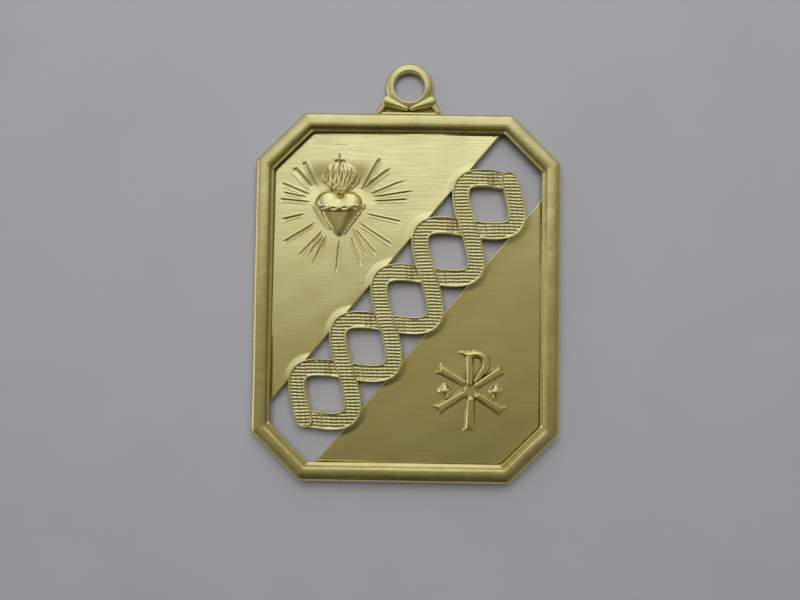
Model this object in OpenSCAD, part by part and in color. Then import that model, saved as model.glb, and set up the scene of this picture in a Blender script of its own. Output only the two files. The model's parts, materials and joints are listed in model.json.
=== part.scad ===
// Pendant medal: a polished border with a ring bail, round a pierced and struck plate.
// It lies on its back: +Z is the front's normal, +Y points to the bail, +X to the right.
// Distances are in millimetres.

/* [Body] */
// Width of the medal's body
body_w = 25; // [24:0.1:26]
// Height of the medal's body, without the bail
body_h = 30; // [29.5:0.1:31]
// Length cut off each side at a corner
corner_clip = 4; // [3.6:0.1:4.4]

/* [Border] */
// Height of the border's crest above the back
border_t = 1.8; // [1.7:0.05:2]
// Width from the outer edge to the opening
border_w = 1.55; // [1.5:0.05:1.65]
// Height of the upright outer side
edge_t = 0.95; // [0.7:0.05:1]
// Radius of the low round of the moulding
moulding_r = 0.95; // [0.9:0.01:1]
// Height of the step inside the moulding
step_t = 1.1; // [1.05:0.01:1.15]
// How far the plate's rim runs under that step
seat_w = 0.3; // [0.2:0.05:0.35]

/* [Bail] */
// Radius of the ring's hole
hole_r = 1.25; // [1.1:0.05:1.35]
// Outer radius of the ring
ring_r = 2; // [1.85:0.05:2.1]
// Thickness of the ring
ring_t = 0.9; // [0.8:0.05:1.1]
// Distance from the body's top edge to the ring's centre
ring_rise = 2.35; // [2.3:0.05:2.6]

/* [Plate] */
// Thickness of the plate
plate_t = 0.85; // [0.8:0.01:0.88]
// Gap between the plate's rim and the border
fit_gap = 0.05; // [0.04:0.01:0.08]

/* [Braid] */
// Angle of the pierced band above the horizontal
band_angle = 50; // [49:0.5:51]
// Width of the slot that the braid fills
slot_w = 6; // [5.8:0.1:6.2]
// Width of each strand
strand_w = 1.4; // [1.2:0.05:1.5]
// Sideways swing of each strand
strand_swing = 2.65; // [2.55:0.05:2.75]
// Distance between neighbouring eyes
eye_pitch = 5.1; // [5:0.05:5.2]
// Height of the strands above the plate
strand_rise = 0.3; // [0.2:0.05:0.4]

/* [Reliefs] */
// Width of the heart
heart_w = 3.85; // [3.6:0.05:4.1]
// Height of the heart from tip to lobes
heart_h = 3.8; // [3.6:0.05:4]
// How far the heart bulges above the plate
heart_rise = 0.8; // [0.6:0.05:0.9]
// Depth of the engraved rays
ray_depth = 0.12; // [0.08:0.01:0.2]
// Width of the bars of the sign
bar_w = 0.72; // [0.6:0.02:0.8]
// Height of the sign above the plate
sign_rise = 0.34; // [0.25:0.01:0.4]

/* [Hidden] */

// The object's box runs from the body's lower edge to the top of the ring, centred on the origin.
total_h = body_h + ring_rise + ring_r;
body_y = (body_h - total_h) / 2;
ring_y = total_h / 2 - ring_r;
half_w = body_w / 2;
half_h = body_h / 2;
far = total_h + 5;

// Section of the border, measured inwards from the outer edge and up from the back
moulding_mid = 0.75;
moulding_z = border_t - moulding_r;
crown_angle = 9;
crown_half = moulding_r * sin(crown_angle);
crown_z = moulding_z + moulding_r * cos(crown_angle);
bevel = 0.2;
wall_foot = 1.34;
wall_top = 1.26;
step_fall = 0.06;
seat_z = 0.9;

// Outward direction and distance of each side of the body
corner_d = (half_w + half_h - corner_clip) / sqrt(2);
SIDE_TURN = [0, 45, 90, 135, 180, 225, 270, 315];
side_d = [half_w, corner_d, half_h, corner_d, half_w, corner_d, half_h, corner_d];

// Section of the ring: radius and height
ring_lip = 0.12;
ring_edge = 0.3;

// Bow of folded ribbon under the ring, from the middle of the body's top edge
bow_knot = [0.2, 0.42];
bow_peak = [1.8, 1.04];
bow_foot = [2.4, 0.16];
knot_w = 0.36;
peak_w = 0.84;
fold_w = 0.54;
bow_t = 1.3;
fold_drop = 0.1;
web_t = 0.5;
base_t = 1.15;
base_rise = 0.2;

// Shoulder where a strand runs into the plate
shoulder_w = 0.65;
shoulder_rise = 0.14;
strand_steps = 12;
eyes = 5;
groove_w = 0.14;
groove_depth = 0.12;

// How deep a relief's foot is sunk in the plate, and the round section of a ridge across and up
sink = 0.25;
ridge_section = [[-1, -sink], [1, -sink], [1, 0.01], [0.6, 0.75], [0, 1], [-0.6, 0.75], [-1, 0.01]];

// Shrink and height of a dome's rings, from its foot to its top
dome_levels = [[1, -sink], [1, 0.02], [0.93, 0.4], [0.78, 0.7], [0.55, 0.9], [0.28, 0.99], [0.05, 1]];

// Places of the reliefs, from the body's centre
heart_at = [-5.61, 7.02];
sign_at = [5.37, -7.58];
band_at = [0.07, -0.17];

// Rays, as turns and distances from the heart's middle
ray_mid = [-5.61, 7.37];
ray_w = 0.2;
RAY_IN_TURN = 0;
RAY_IN_R = 1;
RAY_OUT_TURN = 2;
RAY_OUT_R = 3;
rays = [
    [143, 2.6, 130, 4.7], [145, 2.5, 143, 4.9], [159, 2.9, 159, 5.1], [166, 3.0, 167, 4.7],
    [174, 3.0, 174, 4.9], [194, 3.1, 194, 4.9], [216, 2.6, 214, 5.4], [236, 2.6, 231, 5.1],
    [247, 2.7, 244, 4.8], [269, 2.9, 268, 5.3], [295, 2.5, 291, 5.0], [300, 2.3, 306, 4.9],
    [318, 2.1, 324, 5.2], [343, 2.4, 346, 5.0], [9, 2.8, 7, 5.4], [15, 2.9, 13, 5.9],
    [22, 2.9, 21, 5.4], [34, 2.1, 38, 5.0], [37, 2.3, 50, 5.0]
];

// Outline, thorns and edging of the heart
heart_sides = 36;
thorn_steps = 20;
thorn_half = 1.75;
thorn_sag = 0.2;
thorn_w = 0.34;
thorn_swell = 0.14;
thorn_rise = 0.16;
dome_half = 2.1;
edging = [[2.1, 0.25], [1.6, -0.6], [1, -1.5], [0.35, -2.1]];
edging_w = [0.3, 0.3, 0.28, 0.2];
edging_rise = [0.3, 0.34, 0.3, 0.2];

// Tongues of flame, from the heart's cleft: where the tip lies, and the sideways bend
FLAME_TIP = 0;
FLAME_BEND = 1;
flames = [
    [[-1.35, 2.1], -0.5], [[-0.85, 2.75], -0.4], [[-0.35, 2.6], -0.2], [[0.05, 3.0], 0.15],
    [[0.5, 2.7], 0.2], [[0.95, 2.9], 0.4], [[1.45, 2.2], 0.5]
];
flame_root = [0, 0.9];
flame_w = 0.42;
flame_rise = 0.5;
ridge_steps = 6;

// Small cross above the flames
cross_at = [-0.08, 4.15];
cross_size = [0.85, 1];
cross_w = 0.2;

// Four arms of the sign, as places of their ends from its middle
arm_ends = [[-2.75, 1.78], [2.7, 1.85], [-2.72, -1.7], [2.7, -1.7]];
staff_top = 3.25;
staff_foot = -3.3;
flare = 1.5;
loop_path = [[0, 2.95], [0.55, 3], [1.05, 2.8], [1.28, 2.35], [1.12, 1.85], [0.75, 1.4], [0.3, 1]];
loop_w = [0.55, 0.55, 0.6, 0.62, 0.6, 0.5, 0.45];
serif_path = [[-0.9, 3.12], [-0.45, 3], [0, 2.9]];
serif_w = [0.15, 0.4, 0.7];
rosette_x = [-2.05, 2.08];
rosette_r = 0.52;
rosette_lobe = 0.28;
rosette_sides = 32;

// Corners of the body's outline, moved inwards by d
function octagon(d) =
    let (w = half_w - d, h = half_h - d, c = corner_clip - d * (2 - sqrt(2)))
    [[w, h - c], [w - c, h], [c - w, h], [-w, h - c], [-w, c - h], [c - w, -h], [w - c, -h], [w, c - h]];

// Middle of a strand at distance u along the band
function strand_mid(u, side) = [u, side * strand_swing * cos(180 * u / eye_pitch)];

// Direction across a strand at distance u along the band
function strand_across(u, side) =
    let (slope = -side * strand_swing * (PI / eye_pitch) * sin(180 * u / eye_pitch))
    [-slope, 1] / sqrt(1 + slope * slope);

// One edge of a strand of width w, from end to end of the band
function strand_edge(side, w) =
    let (half = eyes * eye_pitch / 2, n = eyes * strand_steps)
    [
        for (i = [0:n])
            let (u = -half + i * 2 * half / n)
            strand_mid(u, side) + strand_across(u, side) * w / 2
    ];

// A list turned round
function reversed(list) = [for (i = [len(list) - 1:-1:0]) list[i]];

// Point on the heart's outline, for a turn t from the cleft
function heart_point(t) = [
    heart_w / 2 * pow(sin(t), 3),
    heart_h / 29 * (13 * cos(t) - 5 * cos(2 * t) - 2 * cos(3 * t) - cos(4 * t) + 2.5)
];

// Point at part t of a curve from the start to the end, bent sideways
function bent(start, end, bend, t) =
    start + (end - start) * t + [bend * sin(180 * t) * (1 - t), 0];

// A closed tube of rings, each a list of points turning clockwise as seen from its far end
module rings_solid(rings) {
    n = len(rings[0]);
    last = len(rings) - 1;
    walls = [
        for (i = [0:last - 1], j = [0:n - 1])
            let (k = (j + 1) % n)
            each [[i * n + j, i * n + k, (i + 1) * n + j], [i * n + k, (i + 1) * n + k, (i + 1) * n + j]]
    ];
    ends = [
        for (j = [1:n - 2])
            each [[0, j + 1, j], [last * n, last * n + j, last * n + j + 1]]
    ];
    polyhedron(points = [for (r = rings) each r], faces = concat(walls, ends));
}

// A rounded ridge on the plate along a path, as wide and high as its lists say
module ridge(path, widths, heights) {
    last = len(path) - 1;
    rings_solid([
        for (i = [0:last])
            let (
                a = path[max(i - 1, 0)],
                b = path[min(i + 1, last)],
                across = [a[1] - b[1], b[0] - a[0]] / norm(b - a) * widths[i] / 2,
                p = path[i]
            )
            [
                for (s = ridge_section)
                    let (at = p - across * s[0])
                    [at[0], at[1], plate_t + (s[1] < 0 ? s[1] : s[1] * heights[i])]
            ]
    ]);
}

// The low round across the border, with all that lies under it up to the given height
module under_round(height) {
    translate([moulding_mid, moulding_z]) circle(r = moulding_r, $fn = 96);
    translate([-1, -2]) square([far, height + 2]);
}

// One side of the border's outer form: upright edge, bevel, low round and flat crown
module outer_section() {
    intersection() {
        polygon([[0, 0], [0, edge_t], [bevel, crown_z], [far, crown_z], [far, 0]]);
        union() {
            under_round(moulding_z + 0.1);
            translate([moulding_mid, -1]) square([far, border_t + 1]);
        }
    }
}

// One side of what is cut away inside: low round, wall, sloping step, opening and seat for the plate
module inner_section() {
    difference() {
        translate([moulding_mid + crown_half, -1]) square([far, border_t + 2]);
        intersection() {
            polygon([
                [0, -2], [border_w - seat_w, -2], [border_w - seat_w, seat_z], [border_w, seat_z],
                [border_w, step_t - step_fall], [wall_foot, step_t], [wall_top, border_t + 1],
                [0, border_t + 1]
            ]);
            under_round(step_t + 0.05);
        }
    }
}

// Sets a section on side i of the body and runs it along that side
module along_side(i) {
    rotate([0, 0, SIDE_TURN[i]])
        translate([side_d[i], far, 0])
            rotate([90, 0, 0])
                mirror([1, 0, 0])
                    linear_extrude(height = 2 * far) children();
}

module border() {
    translate([0, body_y, 0])
        difference() {
            intersection_for (i = [0:7]) along_side(i) outer_section();
            intersection_for (i = [0:7]) along_side(i) inner_section();
        }
}

// Flat ring with a lip round its hole and a sloping face
module bail_ring() {
    translate([0, ring_y, 0])
        rotate_extrude($fn = 96)
            polygon([
                [hole_r, 0], [ring_r - ring_lip, 0], [ring_r, ring_lip], [ring_r, ring_t - ring_edge],
                [ring_r - ring_lip, ring_t - ring_lip], [hole_r + ring_lip, ring_t], [hole_r, ring_t]
            ]);
}

// A flat bar with round ends, whose width changes from one end to the other.
// Its straight sides lie just inside the ends' rounds, so that they cross them cleanly.
module ribbon(from, to, from_w, to_w, t) {
    run = to - from;
    a = 0.48 * from_w;
    b = 0.48 * to_w;
    linear_extrude(height = t) {
        translate(from) circle(d = from_w, $fn = 48);
        translate(to) circle(d = to_w, $fn = 48);
        translate(from)
            rotate(atan2(run[1], run[0])) polygon([[0, -a], [norm(run), -b], [norm(run), b], [0, a]]);
    }
}

// Two folded loops of ribbon on a low web and a raised base, with the ring's hole left open
module bow() {
    difference() {
        translate([0, body_y + half_h, 0]) {
            for (side = [-1, 1]) {
                knot = [side * bow_knot[0], bow_knot[1]];
                peak = [side * bow_peak[0], bow_peak[1]];
                foot = [side * bow_foot[0], bow_foot[1]];
                ribbon(knot, peak, knot_w, peak_w, bow_t);
                ribbon(peak, foot, fold_w, fold_w, bow_t - fold_drop);
            }
            linear_extrude(height = web_t)
                polygon([
                    [-bow_foot[0], -0.4], [bow_foot[0], -0.4], bow_peak,
                    [0, bow_peak[1] - 0.4], [-bow_peak[0], bow_peak[1]]
                ]);
            linear_extrude(height = base_t)
                polygon([
                    [-bow_foot[0], -0.3], [bow_foot[0], -0.3],
                    [bow_foot[0] - 0.3, base_rise], [0.3 - bow_foot[0], base_rise]
                ]);
        }
        translate([0, ring_y, -1]) cylinder(r = hole_r + ring_lip, h = border_t + 2, $fn = 96);
    }
}

module frame() {
    color("darkkhaki")
        union() {
            border();
            bail_ring();
            bow();
        }
}

// Turns the band's own directions, along and across, into place
module on_band() {
    translate(band_at) rotate([0, 0, band_angle]) children();
}

// The two halves of the plate, on both sides of the slot
module plate_outline(d) {
    difference() {
        polygon(octagon(d));
        on_band() square([far, slot_w], center = true);
    }
}

module strand(side, w, t) {
    on_band() {
        linear_extrude(height = t) {
            polygon(concat(strand_edge(side, w), reversed(strand_edge(side, -w))));
            for (end = [-1, 1]) translate([end * eyes * eye_pitch / 2, 0]) circle(d = w, $fn = 48);
        }
    }
}

// Two strands woven over and under each other, with a groove on both sides of the one on top
module braid() {
    difference() {
        union() {
            strand(1, strand_w, plate_t + strand_rise);
            strand(-1, strand_w, plate_t + strand_rise);
        }
        for (k = [1:eyes - 1]) {
            u = (k - eyes / 2) * eye_pitch;
            over = k % 2 == 0 ? 1 : -1;
            across = strand_across(u, over);
            for (s = [-1, 1])
                on_band()
                    translate([u, 0, plate_t + strand_rise - groove_depth])
                        rotate([0, 0, atan2(-across[0], across[1])])
                            translate([-strand_w / 2, (s * strand_w - groove_w) / 2, 0])
                                cube([strand_w, groove_w, 1]);
        }
    }
}

// Low shoulders on the plate round the strands' outer bends
module shoulders() {
    for (side = [-1, 1])
        intersection() {
            strand(side, strand_w + 2 * shoulder_w, plate_t + shoulder_rise);
            linear_extrude(height = far) plate_outline(border_w + 2 * fit_gap);
        }
}

module rays_cut() {
    for (r = rays) {
        from = ray_mid + r[RAY_IN_R] * [cos(r[RAY_IN_TURN]), sin(r[RAY_IN_TURN])];
        to = ray_mid + r[RAY_OUT_R] * [cos(r[RAY_OUT_TURN]), sin(r[RAY_OUT_TURN])];
        run = to - from;
        translate([from[0], from[1], plate_t - ray_depth])
            rotate([0, 0, atan2(run[1], run[0])])
                linear_extrude(height = 1)
                    polygon([
                        [0, -ray_w / 4], [norm(run), -ray_w / 2], [norm(run), ray_w / 2], [0, ray_w / 4]
                    ]);
    }
}

// A dome over a clockwise outline, shrinking towards its centre as it rises from the plate
module dome(outline, centre, rise) {
    rings_solid([
        for (l = dome_levels)
            [
                for (q = outline)
                    let (p = centre + (q - centre) * l[0])
                    [p[0], p[1], plate_t + (l[1] < 0 ? l[1] : l[1] * rise)]
            ]
    ]);
}

module heart() {
    outline = [for (i = [1:heart_sides]) heart_point(i * 360 / heart_sides)];
    dome(outline, [0, heart_h * 0.08], heart_rise);
}

// Twisted band of thorns across the heart, swelling and thinning along its length
module thorn_band() {
    part = [for (i = [0:thorn_steps]) 2 * i / thorn_steps - 1];
    path = [for (p = part) [thorn_half * p, thorn_sag * (1.4 * p * p - 1)]];
    widths = [for (p = part) thorn_w + thorn_swell * cos(900 * (p + 1))];
    heights = [for (p = path) thorn_rise + heart_rise * sqrt(max(0, 1 - pow(p[0] / dome_half, 2)))];
    ridge(path, widths, heights);
}

// Thin edging along the heart's lower sides
module heart_edging() {
    for (side = [-1, 1])
        ridge([for (p = edging) [side * p[0], p[1]]], edging_w, edging_rise);
}

// Tongues of flame, thickest a little above their root
module flame_tongues() {
    part = [for (i = [0:ridge_steps]) i / ridge_steps];
    for (f = flames)
        ridge(
            [for (t = part) bent(flame_root, flame_root + f[FLAME_TIP], f[FLAME_BEND], t)],
            [for (t = part) flame_w * (0.25 + 1.1 * sin(180 * pow(1 - t, 0.7)))],
            [for (t = part) flame_rise * (1 - 0.6 * t)]
        );
}

module small_cross() {
    translate([cross_at[0], cross_at[1], plate_t - sink])
        linear_extrude(height = sink + flame_rise / 2) {
            square([cross_w, cross_size[1]], center = true);
            translate([0, cross_size[1] * 0.12]) square([cross_size[0], cross_w], center = true);
        }
}

// A ridge of one height along a path
module bar(path, widths, rise) {
    ridge(path, widths, [for (p = path) rise]);
}

// Long sign with a looped staff and four flared arms
module sign_bars() {
    heights = [staff_foot, staff_foot + 0.45, staff_top - 0.9, staff_top - 0.3, staff_top];
    bar([for (y = heights) [0, y]], bar_w * [1.4, 1, 1, 1.15, 1.9], sign_rise);
    for (end = arm_ends)
        bar([[0, 0], end * 0.7, end * 0.88, end], bar_w * [1, 1, 1.15, flare], sign_rise * 0.95);
    bar(loop_path, loop_w, sign_rise * 0.9);
    bar(serif_path, serif_w, sign_rise * 0.85);
}

// Small four-lobed rosettes between the arms
module rosettes() {
    turns = [for (i = [1:rosette_sides]) -i * 360 / rosette_sides];
    outline = [for (t = turns) rosette_r * (1 + rosette_lobe * cos(4 * t)) * [cos(t), sin(t)]];
    for (x = rosette_x)
        translate([x, 0, 0]) dome(outline, [0, 0], sign_rise);
}

// The flat plate with its engraved rays
module struck_plate() {
    difference() {
        linear_extrude(height = plate_t) plate_outline(border_w - seat_w + fit_gap);
        rays_cut();
    }
}

// Heart with its thorns, edging, flames and cross
module heart_emblem() {
    translate([heart_at[0], heart_at[1], 0]) {
        heart();
        thorn_band();
        heart_edging();
        flame_tongues();
        small_cross();
    }
}

// Barred sign with a rosette on both sides
module sign_emblem() {
    translate([sign_at[0], sign_at[1], 0]) {
        sign_bars();
        rosettes();
    }
}

module panel() {
    color("khaki")
        translate([0, body_y, 0]) {
            struck_plate();
            braid();
            shoulders();
            heart_emblem();
            sign_emblem();
        }
}

frame();
panel();
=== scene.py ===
"""Visual model of a pierced brass medal: a polished border with a ring bail, round a struck plate.

The medal lies on its back: +Z is the front's normal, +Y points to the bail, +X to the right.
Shapes are worked out in millimetres and put into their meshes in metres.
"""
import json
import math
from types import SimpleNamespace

import bpy
import numpy as np
from bpy.props import FloatProperty, FloatVectorProperty, IntProperty, PointerProperty
from mathutils import Matrix, Vector


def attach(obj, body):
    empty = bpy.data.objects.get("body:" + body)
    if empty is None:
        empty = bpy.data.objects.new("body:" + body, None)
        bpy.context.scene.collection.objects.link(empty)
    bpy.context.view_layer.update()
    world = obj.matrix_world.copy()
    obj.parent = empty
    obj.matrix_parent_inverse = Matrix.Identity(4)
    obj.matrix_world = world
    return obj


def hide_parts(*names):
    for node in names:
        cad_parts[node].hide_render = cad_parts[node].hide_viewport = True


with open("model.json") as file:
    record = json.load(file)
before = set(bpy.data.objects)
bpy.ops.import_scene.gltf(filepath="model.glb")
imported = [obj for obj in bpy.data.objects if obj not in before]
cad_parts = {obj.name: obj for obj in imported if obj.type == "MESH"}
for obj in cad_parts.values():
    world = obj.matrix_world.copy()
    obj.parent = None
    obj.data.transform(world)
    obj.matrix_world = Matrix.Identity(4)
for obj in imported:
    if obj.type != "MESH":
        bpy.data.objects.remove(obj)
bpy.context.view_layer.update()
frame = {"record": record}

bl_info = {
    "name": "Pierced Brass Medal",
    "version": (1, 0, 0),
    "blender": (4, 5, 0),
    "location": "View3D > Sidebar > Medal",
    "description": "Builds a pierced brass medal with a ring bail, and a plain stage for it",
    "category": "Add Mesh",
}

MM = 0.001
BAIL = next(m for m in frame["record"]["mounts"] if m["name"] == "bail_hole")
GRAIN_SPAN = 40  # Width of the square of the UV map in millimetres
OUTLINE_STEP = 0.45  # Spacing of the points along the border
CORNER_STEPS = 7  # Points round each corner of the border
CREST_PLACE, WALL_PLACE = 0.72, 1.3  # The moulding's crest and inner wall, inwards from the outer edge
SEAT_TOP = 0.9  # Height of the seat over the plate
MAP_STEP = 0.06  # Spacing of the height map that polish and tarnish come from


def length(name, description, millimetres):
    """A length that the user can change, given in millimetres."""
    return FloatProperty(
        name=name, description=description, default=millimetres * MM, unit="LENGTH", precision=5,
    )


def share(name, description, value):
    """A number from 0 to 1 that the user can change."""
    return FloatProperty(name=name, description=description, default=value, min=0, max=1)


def colour(name, description, value):
    """A linear colour that the user can change."""
    return FloatVectorProperty(
        name=name, description=description, default=value, subtype="COLOR", size=3, min=0, max=1,
    )


class BorderSizes(bpy.types.PropertyGroup):
    """Sizes of the border, the ring bail and the bow of ribbon under it"""

    body_width: length("Body width", "Width of the medal's body", 25)
    body_height: length("Body height", "Height of the body without the bail", 30)
    corner_clip: length("Corner clip", "Length cut off each side at a corner", 4)
    border_width: length("Border width", "From the outer edge to the opening", 1.55)
    edge_height: length("Edge height", "Height of the upright outer side", 0.95)
    crest_height: length("Crest height", "Height of the moulding's crest above the back", 1.8)
    moulding_radius: length("Moulding radius", "Radius of the low round over the crest", 3)
    step_height: length("Step height", "Height of the step inside the moulding", 1.1)
    seat_place: length("Seat place", "From the outer edge to the seat of the plate", 1.25)
    corner_round: length("Corner round", "How far each corner is rounded off along its sides", 0.22)
    hole_radius: length("Hole radius", "Radius of the ring's hole", BAIL["dims"]["r_mm"])
    ring_radius: length("Ring radius", "Outer radius of the ring", 2)
    ring_thickness: length("Ring thickness", "Thickness of the ring", BAIL["dims"]["length_mm"])
    ring_place: length("Ring place", "Distance of the ring's centre from the origin", BAIL["pos_m"][1] / MM)


class PanelSizes(bpy.types.PropertyGroup):
    """Sizes of the plate and of the woven band that joins its halves"""

    plate_thickness: length("Plate thickness", "Thickness of the plate", 0.85)
    plate_inset: length("Plate inset", "How far the plate's rim lies inside the body's edge", 1.3)
    slot_width: length("Slot width", "Width of the slot that the band fills", 6)
    half_slope: share("Half slope", "Slope of each half away from the slot", 0.03)
    band_angle: FloatProperty(
        name="Band angle", description="Angle of the band above the horizontal",
        default=math.radians(50), subtype="ANGLE",
    )
    eye_pitch: length("Eye pitch", "Distance between neighbouring eyes", 5.1)
    eyes: IntProperty(name="Eyes", description="Number of eyes along the band", default=5, min=1)
    strand_width: length("Strand width", "Width of each strand", 1.4)
    strand_swing: length("Strand swing", "Sideways swing of each strand", 2.65)
    strand_rise: length("Strand rise", "Height of the strands above the plate", 0.3)
    weave_dip: length("Weave dip", "How far a strand dips under the other one", 0.2)
    rib_pitch: length("Rib pitch", "Distance between the ribs on the strands", 0.268)
    rib_depth: length("Rib depth", "Depth of the grooves between the ribs", 0.075)
    rim_width: length("Rim width", "Width of the smooth rim along a strand", 0.13)
    shoulder_width: length("Shoulder width", "Width of the shoulder beside a strand", 0.65)
    shoulder_rise: length("Shoulder rise", "Height of that shoulder above the plate", 0.1)


class EmblemSizes(bpy.types.PropertyGroup):
    """Sizes of the raised heart, its rays, and the raised sign"""

    heart_rise: length("Heart rise", "How far the heart bulges above the plate", 0.54)
    dish_depth: length("Dish depth", "Depth of the shallow dish round the flames", 0.19)
    ray_depth: length("Ray depth", "Depth of the pressed rays", 0.08)
    sign_rise: length("Sign rise", "Height of the sign above the plate", 0.34)
    rosette_radius: length("Rosette radius", "Radius of the rosettes beside the sign", 0.6)


class Finishes(bpy.types.PropertyGroup):
    """Colours and roughness of the brass and of the stage"""

    polished: colour("Polished brass", "Colour of the polished border", (0.77, 0.69, 0.33))
    satin: colour("Satin brass", "Colour of the brushed plate", (0.93, 0.845, 0.425))
    # Dark tone that the brass is mixed towards: tarnish in the hollows, and painted shade on steep walls, at
    # seams and under the bow.
    tarnish_and_shade: colour("Tarnish", "Colour of the brass in its hollows", (0.17, 0.165, 0.09))
    polished_roughness: share("Polished roughness", "Roughness of the border", 0.2)
    satin_roughness: share("Satin roughness", "Roughness of the plate", 0.2)
    paper: colour("Paper", "Colour of the paper under the medal", (0.30, 0.297, 0.322))


class StageSizes(bpy.types.PropertyGroup):
    """Camera and lights"""

    camera_place: FloatVectorProperty(
        name="Camera place", description="Where the camera stands", subtype="TRANSLATION", size=3,
        default=(-0.000064, -0.004205, 0.057301), precision=6,
    )
    camera_turn: FloatVectorProperty(
        name="Camera turn", description="Turns of the camera about X, Y and Z", subtype="EULER", size=3,
        default=(math.radians(1.796), math.radians(0.453), math.radians(0.83)),
    )
    field_of_view: FloatProperty(
        name="Field of view", description="Angle that the camera sees across the picture",
        default=math.radians(60), subtype="ANGLE",
    )
    key_power: FloatProperty(
        name="Key power", description="Power of the soft light on the bail's side",
        default=0.235, unit="POWER",
    )
    side_light: colour("Light from the sides", "Light from the left and right", (0.245, 0.228, 0.16))
    sky_strength: FloatProperty(
        name="Sky strength", description="Strength of the light by direction", default=1.3,
    )


def settings_of(group):
    """The settings that a property group declares, by name."""
    return {name: kind for name, kind in group.bl_rna.properties.items() if name not in ("rna_type", "name")}


def in_millimetres(group):
    """The values of a property group, with its lengths in millimetres."""
    values = SimpleNamespace()
    for name, kind in settings_of(group).items():
        value = getattr(group, name)
        setattr(values, name, value / MM if kind.unit == "LENGTH" else value)
    return values


# Plain maths on whole arrays

def smooth(value, low, high):
    """A smooth step: 0 below low, 1 above high, and a cubic between them."""
    part = np.clip((value - low) / (high - low), 0, 1)
    return part * part * (3 - 2 * part)


def bump(value, width):
    """A bell curve of height 1 that falls away over the width."""
    return np.exp(-(value / width) ** 2)


def dome(value):
    """A half circle: the root of one less the square, and 0 beyond 1."""
    return np.sqrt(np.clip(1 - value ** 2, 0, 1))


def round_fall(inwards, radius):
    """How far a quarter round edge lies below the top, from the distance inwards from the edge."""
    return radius - np.sqrt(np.clip(radius ** 2 - np.clip(radius - inwards, 0, radius) ** 2, 0, None))


def run_along(x, y, start, end):
    """Distance along a line from its start, distance to the left of it, and the line's length."""
    dx, dy = end[0] - start[0], end[1] - start[1]
    run = math.hypot(dx, dy)
    x, y = x - start[0], y - start[1]
    return (x * dx + y * dy) / run, (y * dx - x * dy) / run, run


def arc(centre, radius, start, end, count):
    """Points on a circle, from one turn to another in degrees."""
    turns = np.radians(np.linspace(start, end, count))
    return np.column_stack([centre[0] + radius * np.cos(turns), centre[1] + radius * np.sin(turns)])


def stroke(x, y, path, *values):
    """Distance of each point from a polyline, and each list of values as it is at the nearest place."""
    best = np.full(x.shape, 1e9)
    found = [np.zeros(x.shape) for _ in values]
    for k in range(len(path) - 1):
        ax, ay = path[k]
        dx, dy = path[k + 1][0] - ax, path[k + 1][1] - ay
        part = np.clip(((x - ax) * dx + (y - ay) * dy) / (dx * dx + dy * dy), 0, 1)
        distance = np.hypot(x - ax - part * dx, y - ay - part * dy)
        nearer = distance < best
        best = np.where(nearer, distance, best)
        for f, value in zip(found, values):
            f[nearer] = (value[k] + (value[k + 1] - value[k]) * part)[nearer]
    return (best, *found)


def ridge(x, y, path, half_widths, heights):
    """Height of a ridge along a polyline, with a half round section."""
    distance, half, height = stroke(x, y, path, half_widths, heights)
    return height * dome(distance / np.maximum(half, 1e-6))


def inside(x, y, outline):
    """Distance inwards from a closed outline, below 0 outside it: the distance to its nearest side,
    with the sign of the winding number."""
    best = np.full(x.shape, 1e9)
    odd = np.zeros(x.shape, bool)
    for (ax, ay), (bx, by) in zip(outline, np.roll(outline, -1, axis=0)):
        dx, dy = bx - ax, by - ay
        part = np.clip(((x - ax) * dx + (y - ay) * dy) / (dx * dx + dy * dy + 1e-12), 0, 1)
        best = np.minimum(best, np.hypot(x - ax - part * dx, y - ay - part * dy))
        crosses = (ay > y) != (by > y)
        slope = np.where(dy == 0, 1e-12, dy)
        odd ^= crosses & (x < ax + (y - ay) * dx / slope)
    return np.where(odd, best, -best)


def higher(a, b, blend):
    """The higher of two surfaces, with the crease between them filled over a small blend. Where a form
    ends, it is given as far below the other one, so that nothing is filled there."""
    part = np.clip(0.5 + 0.5 * (a - b) / blend, 0, 1)
    return b + (a - b) * part + blend * part * (1 - part)


def standing(low, height, blend):
    """A surface with a form on it. The form's foot is sunk by the blend, so nothing is filled where the
    form ends."""
    return higher(low + height - blend * (1 - smooth(height, 0, 3 * blend)), low, blend)


def rounded(points, steps=6):
    """A smooth closed line through the points: between two points, a cubic whose slopes come from the
    points before and after them."""
    p = np.asarray(points, float)
    before, after, next_one = np.roll(p, 1, axis=0), np.roll(p, -1, axis=0), np.roll(p, -2, axis=0)
    t = (np.arange(steps) / steps)[None, :, None]
    a, b, c, d = before[:, None], p[:, None], after[:, None], next_one[:, None]
    line = b + 0.5 * t * (c - a + t * (2 * a - 5 * b + 4 * c - d + t * (3 * (b - c) + d - a)))
    return line.reshape(-1, 2)


# Meshes

def grid_faces(rows, columns, closed=False):
    """Quads between rings of points, counted row by row. If closed, the last ring is joined to the
    first one."""
    i, j = np.arange(rows if closed else rows - 1)[:, None], np.arange(columns)
    across, down = (j + 1) % columns, (i + 1) % rows
    quads = [i * columns + j, i * columns + across, down * columns + across, down * columns + j]
    return np.stack(np.broadcast_arrays(*quads), axis=-1).reshape(-1, 4)


def tube(sections, closed=False):
    """A closed shell from a profile carried along a path: sections is an array of rings of points.
    The first and last ring are capped unless the path closes on itself."""
    rows, columns = sections.shape[:2]
    faces = grid_faces(rows, columns, closed).tolist()
    if not closed:
        faces.append(list(range(columns))[::-1])
        faces.append(list(range((rows - 1) * columns, rows * columns)))
    return sections.reshape(-1, 3), faces


def read(items, name, width=1, kind=np.int32):
    """One property of all items of a mesh, as an array with a row for each item."""
    values = np.empty(len(items) * width, kind)
    items.foreach_get(name, values)
    return values.reshape(-1, width) if width > 1 else values


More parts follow.
